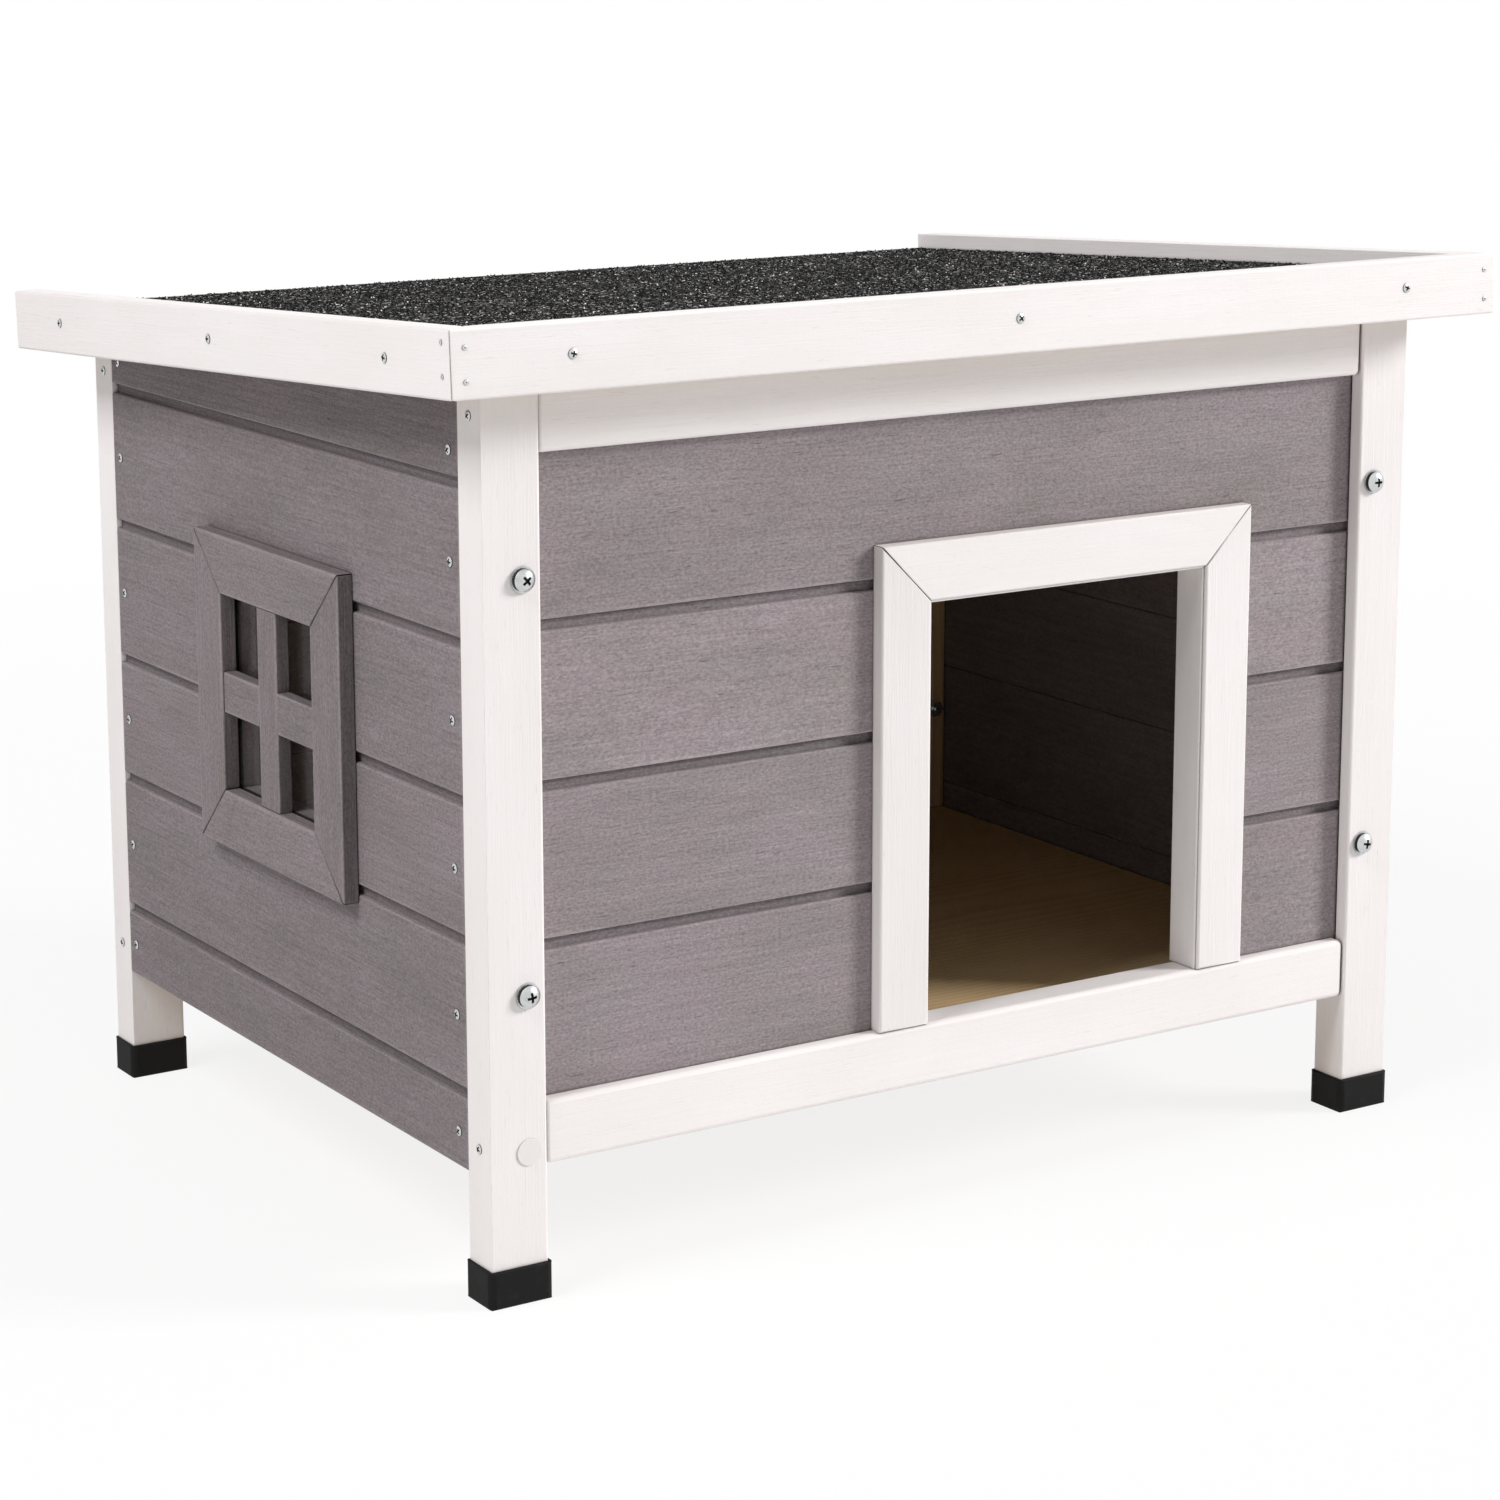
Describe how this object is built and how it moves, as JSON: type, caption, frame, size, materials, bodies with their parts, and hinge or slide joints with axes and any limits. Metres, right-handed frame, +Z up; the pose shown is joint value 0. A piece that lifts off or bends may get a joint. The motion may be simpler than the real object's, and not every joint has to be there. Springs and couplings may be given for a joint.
{
  "type": "outdoor pet house",
  "caption": "Raised boarded timber cabin for a small pet, with a framed doorway, a barred side window and a sloping felted roof that opens on rear hinges.",
  "frame": {"origin": "on the ground, under the middle of the roof's outline", "axes": "+X to the right along the front, the doorway faces -Y, +Z up"},
  "size_m": [0.5718, 0.4611, 0.43],
  "materials": {
    "white_wood": "matt white wash over fir",
    "grey_wood": "matt warm grey stain over fir",
    "bare_wood": "unfinished fir",
    "black_plastic": "moulded, fine matt",
    "white_plastic": "moulded, satin",
    "roofing_felt": "bitumen felt with mineral granules",
    "clear_plastic": "clear acrylic sheet",
    "zinc_steel": "bright zinc plated"
  },
  "bodies": {
    "house": {"leg_front_left": "white_wood", "leg_front_right": "white_wood", "leg_rear_left": "white_wood", "leg_rear_right": "white_wood", "foot_caps": "black_plastic", "front_top_rail": "white_wood", "front_bottom_rail": "white_wood", "rear_top_rail": "white_wood", "rear_bottom_rail": "white_wood", "front_board_1_left": "grey_wood", "front_board_1_right": "grey_wood", "front_board_2_left": "grey_wood", "front_board_2_right": "grey_wood", "front_board_3": "grey_wood", "front_board_4": "grey_wood", "left_board_1": "grey_wood", "left_board_2": "grey_wood", "left_board_3": "grey_wood", "left_board_4": "grey_wood", "left_board_5": "grey_wood", "left_board_6": "grey_wood", "right_board_1": "grey_wood", "right_board_2": "grey_wood", "right_board_3": "grey_wood", "right_board_4": "grey_wood", "right_board_5": "grey_wood", "right_board_6": "grey_wood", "rear_board_1": "grey_wood", "rear_board_2": "grey_wood", "rear_board_3": "grey_wood", "rear_board_4": "grey_wood", "side_battens": "bare_wood", "floor_panel": "bare_wood", "floor_cleats": "bare_wood", "door_trim_left": "white_wood", "door_trim_right": "white_wood", "door_trim_top": "white_wood", "window_trim_top": "grey_wood", "window_trim_bottom": "grey_wood", "window_trim_front": "grey_wood", "window_trim_rear": "grey_wood", "window_bar_upright": "grey_wood", "window_bar_cross": "grey_wood", "window_pane": "clear_plastic", "leg_bolts": "zinc_steel", "bolt_washers": "zinc_steel", "bolt_nuts": "zinc_steel", "frame_screws": "zinc_steel", "board_nails": "zinc_steel", "leg_plug": "white_plastic", "hinge_wall_leaves": "zinc_steel", "hinge_pins": "zinc_steel"},
    "roof": {"roof_deck": "bare_wood", "roof_felt": "roofing_felt", "fascia_front": "white_wood", "fascia_left": "white_wood", "fascia_right": "white_wood", "roof_screws": "zinc_steel", "fascia_nails": "zinc_steel", "hinge_roof_leaves": "zinc_steel"}
  },
  "joints": [
    {"name": "roof_hinge", "type": "hinge", "parent": "house", "child": "roof", "pos_m": [0, 0.20067, 0.38175], "axis": [-1, 0, 0], "range_deg": [0, 92]}
  ]
}
